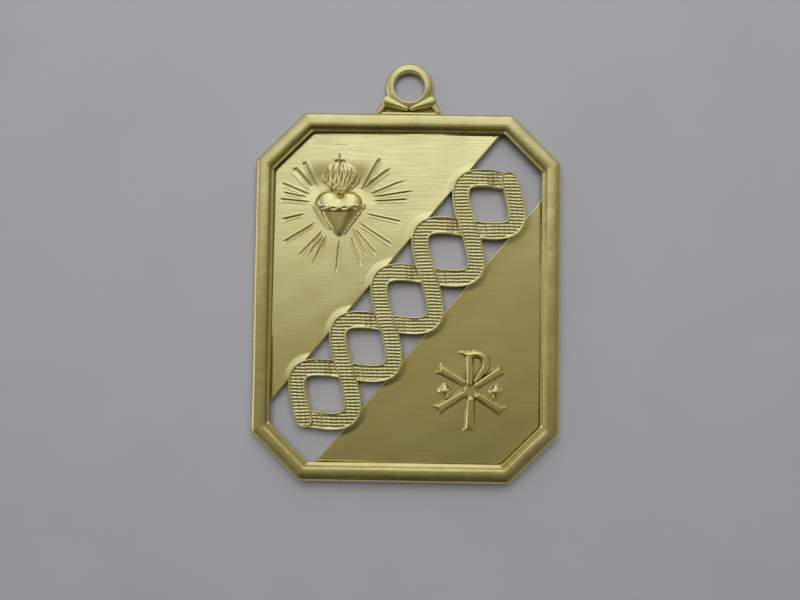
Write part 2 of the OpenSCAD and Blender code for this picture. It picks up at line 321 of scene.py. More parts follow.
def make_mesh(name, points, faces):
    """A mesh in metres from points in millimetres, turned to face outwards by its signed volume."""
    mesh = bpy.data.meshes.new(name)
    mesh.from_pydata((points * MM).tolist(), [], faces)
    mesh.update()
    mesh.calc_loop_triangles()
    a, b, c = points[read(mesh.loop_triangles, "vertices", 3).T]
    if np.einsum("ij,ij->i", a, np.cross(b, c)).sum() < 0:
        mesh.flip_normals()
    return mesh


def add_object(name, data):
    """A new object at the origin, with its mesh, camera or light."""
    new = bpy.data.objects.new(name, data)
    bpy.context.scene.collection.objects.link(new)
    return new


def fuse(name, meshes):
    """One closed body from overlapping closed shells, with the inner faces taken away."""
    body = add_object(name, meshes[0])
    others = [add_object(f"{name}_{k}", mesh) for k, mesh in enumerate(meshes[1:], start=1)]
    for other in others:
        join = body.modifiers.new(other.name, "BOOLEAN")
        join.operation = "UNION"
        join.solver = "MANIFOLD"
        join.object = other
    bpy.context.view_layer.update()
    depsgraph = bpy.context.evaluated_depsgraph_get()
    fused = bpy.data.meshes.new_from_object(body.evaluated_get(depsgraph))
    body.modifiers.clear()
    body.data = fused
    fused.name = name
    for other in others:
        bpy.data.objects.remove(other)
    check_closed(fused)
    return body


def check_closed(mesh):
    """Stops the script unless each edge of the mesh has exactly two faces."""
    edges = read(mesh.loops, "edge_index")
    if len(edges) == 0 or np.any(np.bincount(edges, minlength=len(mesh.edges)) != 2):
        raise RuntimeError(f"{mesh.name} is not a closed mesh")


def positions(mesh):
    """Points of a mesh in millimetres."""
    return read(mesh.vertices, "co", 3, np.float32).astype(float) / MM


def set_attribute(mesh, name, values):
    """A number at each point, for the materials to read."""
    mesh.attributes.new(name, "FLOAT", "POINT").data.foreach_set("value", np.asarray(values, np.float32))


def steepness(mesh):
    """How steep the surface is at each point: 0 where it is level, 1 where it stands upright."""
    return 1 - smooth(read(mesh.vertices, "normal", 3, np.float32)[:, 2], 0.3, 0.75)


def set_grain(mesh):
    """A UV map whose first direction runs along X, which the brushing follows."""
    places = positions(mesh)[read(mesh.loops, "vertex_index"), :2] / GRAIN_SPAN + 0.5
    mesh.uv_layers.new(name="grain").data.foreach_set("uv", places.astype(np.float32).ravel())


def finish_piece(piece, node, material, sharp_angle):
    """Smooth shading with true creases, a material, and the node that the piece stands for."""
    mesh = piece.data
    mesh.shade_smooth()
    mesh.set_sharp_from_angle(angle=math.radians(sharp_angle))
    mesh.materials.clear()
    mesh.materials.append(material)
    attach(piece, "root")
    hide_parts(node)


# Border, ring and bow

def body_centre(sizes):
    """Place of the body's centre along Y in millimetres, when body and ring together are centred."""
    top = sizes.ring_place + sizes.ring_radius
    return sizes.body_height / 2 - top


def body_places(sizes, mesh):
    """X, Y and Z of a mesh's points in millimetres, with Y counted from the body's centre."""
    x, y, z = positions(mesh).T
    return x, y - body_centre(sizes), z


def octagon(sizes, inset):
    """Corners of the body's outline, moved inwards, from the right side's upper corner anticlockwise."""
    w, h = sizes.body_width / 2 - inset, sizes.body_height / 2 - inset
    c = sizes.corner_clip - inset * (2 - math.sqrt(2))
    return np.array([
        [w, h - c], [w - c, h], [c - w, h], [-w, h - c], [-w, c - h], [c - w, -h], [w - c, -h], [w, c - h],
    ])


def body_inset(sizes, x, y):
    """Distance inwards from the body's outline: the least of the distances to its eight sides."""
    w, h = sizes.body_width / 2, sizes.body_height / 2
    corner = (w + h - sizes.corner_clip) / math.sqrt(2)
    return np.minimum.reduce([w - np.abs(x), h - np.abs(y), corner - (np.abs(x) + np.abs(y)) / math.sqrt(2)])


def outline_points(sizes, inset):
    """Points round the outline: each side in even steps, and at each corner a quadratic curve from one
    side to the next, with the corner as its middle handle."""
    cut, corners = sizes.corner_round, octagon(sizes, inset)
    sides = np.roll(octagon(sizes, 0), -1, axis=0) - octagon(sizes, 0)
    lengths = np.linalg.norm(sides, axis=1)
    ahead = sides / lengths[:, None]
    parts = []
    for k in range(8):
        start, end = corners[k] - cut * ahead[k - 1], corners[k] + cut * ahead[k]
        t = np.linspace(0, 1, CORNER_STEPS)[:, None]
        parts.append((1 - t) ** 2 * start + 2 * t * (1 - t) * corners[k] + t * t * end)
        count = int((lengths[k] - 2 * cut) / OUTLINE_STEP)
        reach = corners[(k + 1) % 8] - cut * ahead[k]
        parts.append(end + (reach - end) * np.arange(1, count)[:, None] / count)
    return np.vstack(parts)


def border_section(sizes):
    """Closed section of the border, as distance inwards and height: upright edge, a soft outer round, a
    nearly flat crest, two ever tighter rounds that run on from each other, wall, step, seat and flat
    back."""
    crest, edge = sizes.crest_height, sizes.edge_height
    step, width, seat = sizes.step_height, sizes.border_width, sizes.seat_place
    wide, side, tight = sizes.moulding_radius, 1.2, 0.12
    rounds, centre = [], np.array([0.75, crest - 0.004 - wide])
    for radius, following, start, end in ((wide, side, 89.5, 86), (side, tight, 85, 73), (tight, 0, 69, 42)):
        rounds.append(arc(centre, radius, start, end, 6))
        turn = math.radians(end)
        centre = centre + (radius - following) * np.array([math.cos(turn), math.sin(turn)])

    def near(place, height, *points):
        return np.array(points) + (place, height)

    return np.vstack([
        near(0, 0, (0.1, 0), (0.05, 0.008), (0.02, 0.03), (0.004, 0.07), (0, 0.3), (0, 0.6)),
        near(0, edge, (0, -0.07), (0.004, -0.03), (0.014, 0.01), (0.03, 0.08), (0.06, 0.22), (0.1, 0.36)),
        near(0, crest, (0.15, -0.34), (0.2, -0.238), (0.26, -0.16), (0.33, -0.1), (0.4, -0.063)),
        near(0, crest, (0.5, -0.032), (0.62, -0.012), (CREST_PLACE, -0.005)),
        *rounds,
        near(0, crest, (1.29, -0.115), (1.297, -0.15), (WALL_PLACE, -0.33)),
        near(0, step, (1.304, 0.14), (1.307, 0.05), (1.314, 0.018), (1.33, 0), (1.4, 0)),
        near(width, step, (-0.05, 0), (-0.022, -0.006), (-0.007, -0.018), (0, -0.045)),
        near(width, SEAT_TOP, (0, 0.04), (-0.006, 0.012), (-0.03, 0), (-0.15, 0)),
        near(seat, SEAT_TOP, (0.02, 0), (0, -0.02), (0, -0.4), (0, 0.04 - SEAT_TOP)),
        near(seat, 0, (-0.01, 0.01), (-0.04, 0)),
        [(0.7, 0)],
    ])


def border_shell(sizes):
    """The border's section carried round the outline: each of its points moves inwards in a straight
    line, and the moulding's height and place wander in sine waves of the way round. Its top leans a
    little outwards at both ends of the body, less so beside the ring. The step falls inwards along the
    straight sides, and is level across the corners."""
    place, rise = border_section(sizes).T
    outer = outline_points(sizes, inset=0)
    inward = outline_points(sizes, inset=1) - outer
    length_at = np.r_[0, np.cumsum(np.linalg.norm(np.diff(outer, axis=0), axis=1))]
    way = length_at / (length_at[-1] + OUTLINE_STEP) * 2 * np.pi
    wander = 0.005 * np.sin(7 * way + 0.4) + 0.004 * np.sin(17 * way + 2.1) + 0.003 * np.sin(41 * way + 1.3)
    lift = 0.003 * np.sin(5 * way + 1.9) + 0.002 * np.sin(23 * way + 0.2)
    on_top = smooth(rise, 1.2, 1.5)
    d = place + wander[:, None] * on_top * smooth(place, 0.05, 0.3)
    z = rise + (lift - 0.005)[:, None] * on_top
    along = np.roll(outer, -2, axis=0) - np.roll(outer, 2, axis=0)
    along /= np.linalg.norm(along, axis=1)[:, None]
    straight = 1 - 0.9 * smooth(np.abs(along[:, 0] * along[:, 1]), 0.15, 0.45)
    beside_ring = -0.065 + 0.045 * bump(outer[:, :1] - 1.4, 2.6)
    lean = np.where(inward[:, 1:] > 0, 0.05, beside_ring) * inward[:, 1:]
    z = z + lean * (place - CREST_PLACE) * on_top
    on_step = (place > WALL_PLACE) & (rise > 1)
    z = z - np.where(on_step, 0.3 * (place - WALL_PLACE), 0) * straight[:, None]
    plan = outer[:, None, :] + d[:, :, None] * inward[:, None, :]
    plan[..., 1] += body_centre(sizes)
    return tube(np.dstack([plan, z]), closed=True)


def ring_shell(sizes):
    """The ring: a section turned round the hole's axis, with a fine lip round the hole and a low cone
    that falls outwards from it."""
    hole, rim, top = sizes.hole_radius, sizes.ring_radius, sizes.ring_thickness
    bore = ((0.06, 0), (0.015, 0.015), (0, 0.06), (0, 0.3))
    lip = (
        (0, 0.2), (0.008, 0.13), (0.03, 0.06), (0.06, 0.02), (0.1, 0.002), (0.15, 0.004), (0.2, 0.014),
        (0.27, 0.028), (0.34, 0.044), (0.41, 0.062), (0.48, 0.085), (0.55, 0.12),
    )
    flank = ((0.14, 0.165), (0.09, 0.225), (0.045, 0.31), (0.015, 0.41), (0, 0.53))
    underside = ((0, 0.2), (0.015, 0.12), (0.05, 0.05), (0.11, 0.01), (0.17, 0))
    section = np.array([
        *((hole + out, height) for out, height in bore),
        *((hole + out, top - fall) for out, fall in lip),
        *((rim - back, top - fall) for back, fall in flank),
        *((rim - back, height) for back, height in underside),
    ])
    radius, height = section.T
    turn = np.linspace(0, 2 * np.pi, 160, endpoint=False)[:, None]
    places = [radius * np.cos(turn), radius * np.sin(turn) + sizes.ring_place, height + 0 * turn]
    return tube(np.dstack(places), closed=True)


def ribbon_shell(start, end, start_half, end_half, foot, side, crest):
    """A folded ribbon: a section with upright sides and a rounded top, carried from start to end. The
    half width runs evenly between the two and closes in a half circle at both ends."""
    start, end = np.array(start, float), np.array(end, float)
    run = np.linalg.norm(end - start)
    ahead = (end - start) / run
    t = (1 - np.cos(np.linspace(0, np.pi, 44))) / 2
    reach = -start_half + t * (run + start_half + end_half)
    part = np.clip(reach / run, 0, 1)
    half = start_half + (end_half - start_half) * part
    over = np.where(reach < 0, -reach / start_half, np.where(reach > run, (reach - run) / end_half, 0))
    closing = np.sqrt(np.clip(1 - over ** 2, 0.0004, 1))
    turns = np.radians(np.linspace(180, 0, 13))
    s = np.r_[-1, -1, np.cos(turns), 1, 1]
    lift = np.r_[0, 0, np.sin(turns), 0, 0]
    base = np.r_[foot, side * 0.6, np.full(13, side), side * 0.6, foot]
    plan = start + reach[:, None, None] * ahead
    plan = plan + (half * closing)[:, None, None] * s[:, None] * np.array([-ahead[1], ahead[0]])
    z = base + lift * (crest - side) * closing[:, None] ** 0.7
    return tube(np.dstack([plan, z]))


def prism_shell(outline, foot, top, edge):
    """A flat web over an outline: upright sides and a small slope round its top."""
    outline = np.asarray(outline, float)
    centre = outline.mean(axis=0)
    rings = [
        np.column_stack([centre + (outline - centre) * k, np.full(len(outline), z)])
        for k, z in ((1, foot), (1, top - edge), (1 - edge, top))
    ]
    return tube(np.array(rings))


def bow_shells(sizes):
    """Two loops of folded ribbon, mirrored about the middle, on a low web and a thin raised base."""
    edge = body_centre(sizes) + sizes.body_height / 2
    shells = []
    for side in (-1, 1):
        knot, peak, foot = [(side * x, edge + y) for x, y in ((0.2, 0.42), (1.8, 1.04), (2.4, 0.16))]
        shells += [
            ribbon_shell(knot, peak, start_half=0.19, end_half=0.45, foot=0, side=1.0, crest=1.26),
            ribbon_shell(peak, foot, start_half=0.24, end_half=0.26, foot=0.004, side=0.85, crest=1.15),
        ]
    web = [(-2.4, -0.4), (2.4, -0.4), (1.8, 1.04), (0, 0.64), (-1.8, 1.04)]
    left, right = (-2.1, edge - 0.04), (2.1, edge - 0.04)
    shells += [
        prism_shell([(x, edge + y) for x, y in web], foot=0.008, top=0.5, edge=0.04),
        ribbon_shell(left, right, start_half=0.22, end_half=0.22, foot=0.012, side=0.95, crest=1.15),
    ]
    return shells


# Plate

BAND_AT = np.array([0.07, -0.17])  # Middle of the band, from the body's centre


def band_directions(sizes):
    """Unit vectors along and across the band."""
    turn = sizes.band_angle
    return np.array([math.cos(turn), math.sin(turn)]), np.array([-math.sin(turn), math.cos(turn)])


def half_plate(sizes, border, side):
    """Corners of one half of the plate: the inset octagon, cut along the slot's edge, anticlockwise."""
    outline = octagon(border, sizes.plate_inset)
    reach = side * ((outline - BAND_AT) @ band_directions(sizes)[1]) - sizes.slot_width / 2
    corners = []
    for here, there, a, b in zip(outline, np.roll(outline, -1, axis=0), reach, np.roll(reach, -1)):
        if a >= 0:
            corners.append(here)
        if (a >= 0) != (b >= 0):
            corners.append(here + (there - here) * a / (a - b))
    return np.array(corners)


def inset_polygon(corners, inset):
    """Corners of a convex polygon moved inwards: each is where its two shifted sides meet."""
    sides = np.roll(corners, -1, axis=0) - corners
    normals = np.column_stack([-sides[:, 1], sides[:, 0]]) / np.linalg.norm(sides, axis=1)[:, None]
    moved = []
    for k in range(len(corners)):
        pair = np.array([normals[k - 1], normals[k]])
        moved.append(np.linalg.solve(pair, pair @ corners[k] + inset))
    return np.array(moved)


def spread_on_sides(corners, pole, count, evenness):
    """For each side, the parts of its length at which points lie: a mix of even spacing along the sides
    and even turns as seen from the pole."""
    parts = []
    ends = np.roll(corners, -1, axis=0)
    total = np.linalg.norm(ends - corners, axis=1).sum()
    fine = np.linspace(0, 1, 400)
    for a, b in zip(corners, ends):
        line = a + (b - a) * fine[:, None] - pole
        turn = np.unwrap(np.arctan2(line[:, 1], line[:, 0]))
        by_length = fine * np.linalg.norm(b - a) / total
        by_turn = (turn - turn[0]) / (2 * np.pi)
        weight = evenness * by_length + (1 - evenness) * by_turn
        steps = max(4, int(round(count * weight[-1])))
        parts.append(np.interp(np.arange(steps) / steps * weight[-1], weight, fine))
    return parts


def polygon_ring(corners, parts):
    """Points on a polygon's sides at the given parts of each side."""
    ends = np.roll(corners, -1, axis=0)
    return np.vstack([a + (b - a) * p[:, None] for a, b, p in zip(corners, ends, parts)])


def plate_shell(sizes, border, side, pole, reach, count, spacing, height):
    """One half of the plate as nested rings: its outline moved inwards step by step, then blended into a
    circle round the emblem, then even circles down to a pole. The height function lifts them, and an
    upright wall and a flat back close the shell."""
    corners = half_plate(sizes, border, side)
    parts = spread_on_sides(corners, pole, count, evenness=0.3)
    insets = np.r_[
        0, 0.012, 0.03, 0.05, 0.1, 0.16, 0.21, np.arange(0.25, 0.5, 0.035), np.arange(0.52, 1.26, 0.09)
    ]
    rings = [polygon_ring(inset_polygon(corners, inset) if inset else corners, parts) for inset in insets]
    last = rings[-1] - pole
    turn = np.arctan2(last[:, 1], last[:, 0])
    round_it = np.column_stack([np.cos(turn), np.sin(turn)])
    blend = np.linspace(0, 1, 18)[1:, None]
    rings += [pole + last * (1 - t) + round_it * reach * t for t in blend]
    rings += [pole + round_it * r for r in np.arange(reach - spacing, 0.6 * spacing, -spacing)]
    inset_of = np.r_[insets, np.full(len(rings) - len(insets), 9)]
    plan = np.array(rings)
    lift = height(plan[..., 0], plan[..., 1])
    z = sizes.plate_thickness + lift - round_fall(inset_of, 0.06)[:, None]
    foot = np.dstack([plan[:1], np.zeros((1, plan.shape[1]))])
    sections = np.vstack([foot, np.dstack([plan, z])])
    rows, columns = sections.shape[:2]
    middle = height(np.array([pole[0]]), np.array([pole[1]]))[0] + sizes.plate_thickness
    points = np.vstack([sections.reshape(-1, 3), [[*pole, middle]]])
    points[:, 1] += body_centre(border)
    faces = grid_faces(rows, columns).tolist()
    faces.append(list(range(columns))[::-1])
    last = (rows - 1) * columns + np.arange(columns)
    faces += np.column_stack([last, np.roll(last, -1), np.full(columns, rows * columns)]).tolist()
    return points, faces


def strand_line(sizes, side, count):
    """Middle line of a strand in the body's plane: a cosine across the band, followed along its length."""
    ahead, across = band_directions(sizes)
    half = sizes.eyes * sizes.eye_pitch / 2
    u = np.linspace(-half, half, count)
    v = side * sizes.strand_swing * np.cos(np.pi * u / sizes.eye_pitch)
    return BAND_AT + u[:, None] * ahead + v[:, None] * across, u


def from_strands(sizes, x, y, count):
    """Distance of each point from the nearer strand's middle line, drawn with that many points."""
    return np.minimum(*[stroke(x, y, strand_line(sizes, side, count)[0])[0] for side in (-1, 1)])


def shoulder_height(sizes, x, y):
    """Low shoulders beside the strands' outer bends, which fall softly with the distance from a strand's
    middle line."""
    inner = sizes.strand_width / 2
    outer = inner + sizes.shoulder_width
    return sizes.shoulder_rise * (1 - smooth(from_strands(sizes, x, y, 110), inner - 0.15, outer - 0.12))


def under_border(sizes, x, y, lift):
    """The plate's lift, held down softly near the border where it would reach the border's lip."""
    near = 1 - smooth(body_inset(sizes, x, y), 1.53, 1.76)
    return lift - near * np.clip(lift - 0.004, 0, None)


def waviness(sizes, x, y):
    """Slight unevenness of the struck sheet: each half slopes down away from the slot, with slow sine
    waves on it."""
    across = band_directions(sizes)[1]
    away = np.abs((x - BAND_AT[0]) * across[0] + (y - BAND_AT[1]) * across[1])
    slope = sizes.half_slope * (4 - (away - sizes.slot_width / 2))
    return slope + (
        0.006 * np.sin(0.55 * x + 0.31 * y + 0.8) + 0.005 * np.sin(0.41 * y - 0.63 * x + 2.0)
        + 0.0025 * np.sin(1.7 * x + 0.9 * y + 0.3) + 0.002 * np.sin(1.3 * x - 2.1 * y + 1.1)
    )


RAY_MIDDLE = (-5.61, 7.37)
# Turn and distance of each ray at its inner end, the same at its outer end, and its half width
RAYS = (
    (143, 2.5, 130, 4.65, 0.13), (147, 2.63, 141, 4.85, 0.14), (160, 2.6, 159, 4.95, 0.075),
    (166, 2.9, 167, 4.6, 0.06), (173, 2.4, 174, 4.8, 0.065), (194, 2.96, 194, 4.72, 0.065),
    (216, 2.52, 214, 5.33, 0.06), (237, 2.51, 232, 5.0, 0.055), (243, 2.8, 239, 4.5, 0.055),
    (248, 2.7, 246, 4.82, 0.06), (271, 2.87, 269, 5.23, 0.07), (291, 2.8, 292, 5.03, 0.065),
    (301, 2.23, 300, 4.47, 0.055), (305, 2.42, 308, 4.87, 0.065), (320, 2.22, 324, 5.26, 0.06),
    (344, 2.44, 346, 5.14, 0.06), (8, 2.87, 6, 5.46, 0.06), (15, 2.94, 12, 5.95, 0.06),
    (21, 2.7, 22, 5.44, 0.065), (36, 2.29, 37, 5.0, 0.09), (35, 2.23, 50, 5.03, 0.1),
)


def ray_height(sizes, x, y):
    """Pressed rays: each is a bell-shaped groove along a straight line with a low lip on both sides. It
    fades in at its inner end, widens a little, and stops at its outer end."""
    total = np.zeros(x.shape)
    for turn_in, r_in, turn_out, r_out, half in RAYS:
        start = arc(RAY_MIDDLE, r_in, turn_in, turn_in, 1)[0]
        end = arc(RAY_MIDDLE, r_out, turn_out, turn_out, 1)[0]
        t, s, run = run_along(x, y, start, end)
        ends = smooth(t, -0.1, 0.5) * (1 - smooth(t, run - 0.08, run + 0.08))
        groove = -bump(s, half * (0.8 + 0.35 * np.clip(t / run, 0, 1)))
        lip = 0.2 * bump(np.abs(s) - 2.2 * half, 0.8 * half)
        total += ends * (groove + lip) * sizes.ray_depth
    return total


HEART_AT = (-5.61, 7.02)  # Middle of the heart, from the body's centre
# Outline of the heart, from its middle
HEART_LINE = (
    (0.04, 1.2), (0.33, 1.5), (0.85, 1.62), (1.36, 1.46), (1.74, 1.06), (1.87, 0.6), (1.76, 0.2),
    (1.47, -0.24), (0.94, -0.96), (0.52, -1.62), (0.28, -1.98), (0.06, -2.1), (-0.2, -2), (-0.52, -1.66),
    (-1.0, -0.98), (-1.46, -0.26), (-1.8, 0.2), (-1.95, 0.6), (-1.84, 1.08), (-1.5, 1.48), (-1.0, 1.66),
    (-0.46, 1.56), (-0.16, 1.36),
)
# Place and half width of the hollows between the cords of thorns, and places of the knots beside them
THORNS = ((-1.22, 0.17, 0.27), (-0.42, 0.08, 0.31), (0.5, 0.12, 0.33), (1.34, 0.2, 0.27))
THORN_KNOTS = ((-1.6, 0.27), (-0.8, 0.14), (0.03, 0.13), (0.95, 0.18), (1.66, 0.3))
KNOT_RADIUS = math.sqrt(0.021)


def heart_height(sizes, x, y):
    """The heart: a rounded edge of a quarter circle, times a fall towards the tip, with a round swell on
    each lobe, a valley at the cleft and fine bell-shaped folds under it. The band of thorns is a low
    ridge across it, with an oval hollow at each gap between its twisted cords and a small knot beside
    each hollow."""
    rise = sizes.heart_rise
    depth = inside(x, y, rounded(HEART_LINE))
    edge = dome(1 - np.clip(depth / 0.8, 0, 1))
    fall = 1 - 0.5 * np.clip((0.3 - y) / 2.4, 0, 1) ** 1.15
    lobes = sum(np.exp(-(((x - cx) / 0.75) ** 2 + ((y - 0.5) / 0.75) ** 2)) for cx in (-0.97, 0.92))
    valley = 0.16 * bump(x - 0.02, 0.3) * smooth(y, 0.5, 1.3)
    folds = 0.03 * bump(x + 0.45, 0.2) - 0.03 * bump(x - 0.05, 0.2) + 0.02 * bump(x - 0.5, 0.22)
    form = rise * edge * (0.78 * fall + 0.15 * lobes - valley + folds * smooth(-y, 0.1, 0.6))
    on_band = smooth(depth, 0.04, 0.22)
    middle = 0.1 + 0.045 * x * x + 0.03 * x
    form = form + on_band * 0.085 * dome((y - middle) / 0.24)
    for hx, hy, half in THORNS:
        hollow = np.hypot((x - hx) / half, (y - hy) / 0.15)
        form = form - on_band * 0.11 * (1 - smooth(hollow, 0.25, 1.0))
    for kx, ky in THORN_KNOTS:
        form = form + on_band * 0.07 * dome(np.hypot(x - kx, y - ky) / KNOT_RADIUS)
    return form


# Heights of the flames' tips over the heart's middle
FLAME_TIPS = (3.3, 3.72, 3.46, 3.98, 3.66, 4.06, 3.8, 4.02, 3.68, 3.97, 3.74, 3.5)
# Lines of the cords before the flames, and the share of their full height
CORDS = (
    (((-0.62, 1.5), (-0.42, 1.78), (-0.16, 2.05), (0.02, 2.3)), 1),
    (((0.16, 1.42), (0.45, 1.72), (0.76, 2.05), (0.98, 2.42)), 1),
    (((-0.9, 1.62), (-0.72, 1.9), (-0.62, 2.2), (-0.6, 2.5)), 1),
    (((1.0, 1.85), (1.45, 2.3), (1.6, 2.8), (1.35, 3.5)), 0.5),
)


def flame_height(x, y):
    """The flames: fine wavy strands that leave the cleft close together, bow outwards and end at uneven
    heights, on a low swell. Each strand swells and thins along its way. Cords cross in front of their
    foot, and one stands apart on the right."""
    half_way = np.interp(y, [1.2, 1.75, 2.4, 2.9, 3.5, 4.1], [0.3, 0.75, 1.2, 1.3, 1.15, 0.6])
    swell = 0.17 * dome((x - 0.04) / half_way) * smooth(y, 1.2, 1.5) * (1 - smooth(y, 3.2, 3.95))
    total = np.zeros(x.shape)
    way = np.linspace(0, 1, 15)
    t = way[:, None]
    for k, tip in enumerate(FLAME_TIPS):
        place = 2 * k / (len(FLAME_TIPS) - 1) - 1
        foot = np.array([0.05 + 0.72 * place, 1.68 + 0.2 * place ** 2])
        belly = np.array([1.7 * place, 2.6])
        head = np.array([0.02 + 0.95 * place + 0.14 * math.sin(4.1 * k), tip - 0.12 * place ** 2])
        path = (1 - t) ** 2 * foot + 2 * t * (1 - t) * belly + t ** 2 * head
        path[:, 0] += 0.085 * np.sin(2 * np.pi * (1.3 * way + 0.37 * k)) * np.sin(np.pi * way)
        slender = np.sin(np.pi * np.clip(way * 0.9 + 0.1, 0, 1)) ** 0.5
        half = (0.085 + 0.015 * math.sin(5.3 * k)) * slender + 0.02
        lift = (0.1 + 0.02 * math.sin(2.7 * k)) * (0.85 + 0.15 * np.sin(2 * np.pi * 2.3 * way + 1.9 * k))
        distance, wide, high = stroke(x, y, path, half, lift * smooth(1 - way, 0, 0.12))
        total = np.maximum(total, high * bump(distance, wide))
    total = total + swell
    for path, high in CORDS:
        cord = ridge(x, y, path, (0.1, 0.11, 0.1, 0.06), (0.27, 0.29, 0.28, 0.22))
        total = np.maximum(total, high * cord)
    return total


def edging_height(x, y):
    """Fine edging along the heart's lower sides: a thin cord and a dotted line on the left, and a thicker
    twisted cord on the right."""
    left = ((-2.06, 0.56), (-1.83, 0.12), (-1.54, -0.33), (-1.05, -1.07), (-0.72, -1.55))
    right = ((2.1, 0.44), (1.86, 0.08), (1.56, -0.36), (1.02, -1.08), (0.46, -1.9))
    along_left, along_right = x * 0.55 - y * 0.83, -x * 0.55 - y * 0.83
    total = ridge(x, y, left, (0.07, 0.09, 0.1, 0.095, 0.06), (0.1, 0.13, 0.14, 0.12, 0.07))
    cord = ridge(x, y, right, (0.1, 0.13, 0.14, 0.13, 0.09), (0.12, 0.16, 0.17, 0.15, 0.09))
    total = np.maximum(total, cord * (0.93 + 0.07 * np.sin(26 * along_right + 14 * x)))
    beside = tuple((px - 0.19, py - 0.1) for px, py in left)
    dots = ridge(x, y, beside, (0.05, 0.07, 0.07, 0.06, 0.03), (0.04, 0.06, 0.06, 0.05, 0.03))
    return np.maximum(total, dots * (0.6 + 0.4 * np.sin(34 * along_left)))


def small_cross_height(x, y):
    """The small cross over the flames: two fine rounded bars, the lower one with thick ends."""
    upright = ridge(x, y, ((-0.03, 3.85), (-0.04, 4.6)), (0.075, 0.085), (0.19, 0.21))
    line = ((-0.4, 4.14), (-0.25, 4.16), (0.17, 4.15), (0.32, 4.12))
    bar = ridge(x, y, line, (0.095, 0.06, 0.06, 0.095), (0.15, 0.12, 0.12, 0.15))
    return np.maximum(upright, bar)


def heart_plate_height(border, panel, emblems, x, y):
    """Height above the plate on the heart's half: waves, shoulders, the soft dish round the flames with
    its long slope from the cross down to the heart, and rays. On them are the heart, the flames, the
    edging and the cross."""
    hx, hy = x - HEART_AT[0], y - HEART_AT[1]
    low = waviness(panel, x, y) + shoulder_height(panel, x, y)
    beside = 1 - smooth(np.abs(hx), 1.7, 3.3)
    low = low - emblems.dish_depth * beside * smooth(hy, 0.2, 1.9) * (1 - smooth(hy, 2.0, 4.3))
    low = under_border(border, x, y, low) + ray_height(emblems, x, y)
    near = (np.abs(hx) < 2.7) & (hy > -2.6) & (hy < 5)
    ax, ay, form = hx[near], hy[near], low[near]
    form = standing(form, small_cross_height(ax, ay), 0.01)
    form = standing(form, edging_height(ax, ay), 0.015)
    form = np.maximum(form, low[near] + flame_height(ax, ay))
    low[near] = np.maximum(form, standing(low[near], heart_height(emblems, ax, ay), 0.03))
    return low


SIGN_AT = (5.37, -7.58)  # Middle of the sign, from the body's centre
# Arms of the sign: inner end, outer end, and half width at both
ARMS = (
    ((-0.5, 0.64), (-2.73, 1.86), 0.31, 0.4), ((0.3, 0.41), (2.55, 1.84), 0.31, 0.41),
    ((-0.56, -0.13), (-2.82, -1.6), 0.33, 0.41), ((0.42, -0.25), (2.64, -1.66), 0.33, 0.41),
)
ROSETTES = (-2.13, 2)  # Places of their centres along X


def bar_inside(x, y, start, end, first, last, flare, drawn_in=0.1):
    """Distance inwards from the outline of a straight bar: its half width runs from first to last, with a
    short flare at its far end, and that end is drawn in at its middle."""
    t, s, run = run_along(x, y, start, end)
    s = np.abs(s)
    half = first + (last - first) * np.clip(t / run, 0, 1) + flare * smooth(t, run - 0.45, run) ** 1.5
    reach = run - drawn_in * (1 - np.clip(s / half, 0, 1) ** 2)
    near = t + 0.14 * (1 - np.clip(s / half, 0, 1) ** 2)
    return np.minimum(np.minimum(half - s, reach - t), near)


def sign_height(sizes, x, y):
    """The sign: bars whose sides curve up in a parabola to a flat top. Their inner ends stop at a low flat
    hub. Each of two rosettes is a dome whose radius swings four times round it."""
    rise = sizes.sign_rise
    bars = [bar_inside(x, y, *arm, flare=0.07) for arm in ARMS]
    bars.append(bar_inside(x, y, (-0.06, -0.52), (-0.12, -3.24), 0.37, 0.41, flare=0.09, drawn_in=0.12))
    staff = bar_inside(x, y, (-0.17, 0.5), (-0.17, 3.22), 0.325, 0.33, flare=0, drawn_in=0)
    loop = (
        (-0.1, 2.98), (0.35, 3.02), (0.72, 2.93), (1.02, 2.7), (1.16, 2.38), (1.1, 2), (0.86, 1.6),
        (0.55, 1.2), (0.26, 0.86),
    )
    distance, width = stroke(x, y, loop, (0.27, 0.28, 0.3, 0.34, 0.36, 0.35, 0.32, 0.27, 0.18))
    serif = ((-1.0, 3.14), (-0.7, 3.08), (-0.4, 2.98), (-0.1, 2.85))
    gap, serif_width = stroke(x, y, serif, (0.04, 0.12, 0.22, 0.32))
    bars.append(np.maximum.reduce([staff, width - distance, serif_width - gap]))
    deep = np.maximum.reduce(bars)
    form = rise * (1 - (1 - np.clip((deep + 0.01) / 0.24, 0, 1)) ** 2)
    hub = 0.3 * rise * (1 - smooth(np.hypot(x + 0.05, y), 0.45, 0.62))
    form = np.maximum(form, hub)
    for centre in ROSETTES:
        dx, lobe = x - centre, sizes.rosette_radius
        radius = lobe * (0.87 + 0.13 * np.cos(4 * np.arctan2(y, dx)))
        form = np.maximum(form, 0.85 * rise * np.clip(1 - (dx * dx + y * y) / radius ** 2, 0, 1) ** 0.8)
    return form


def sign_plate_height(border, panel, emblems, x, y):
    """Height above the plate on the sign's half: waves, shoulders and the sign."""
    lift = under_border(border, x, y, waviness(panel, x, y) + shoulder_height(panel, x, y))
    sx, sy = x - SIGN_AT[0], y - SIGN_AT[1]
    near = (np.abs(sx) < 3.4) & (np.abs(sy) < 3.7)
    lift[near] += sign_height(emblems, sx[near], sy[near])
    return lift


# Woven band

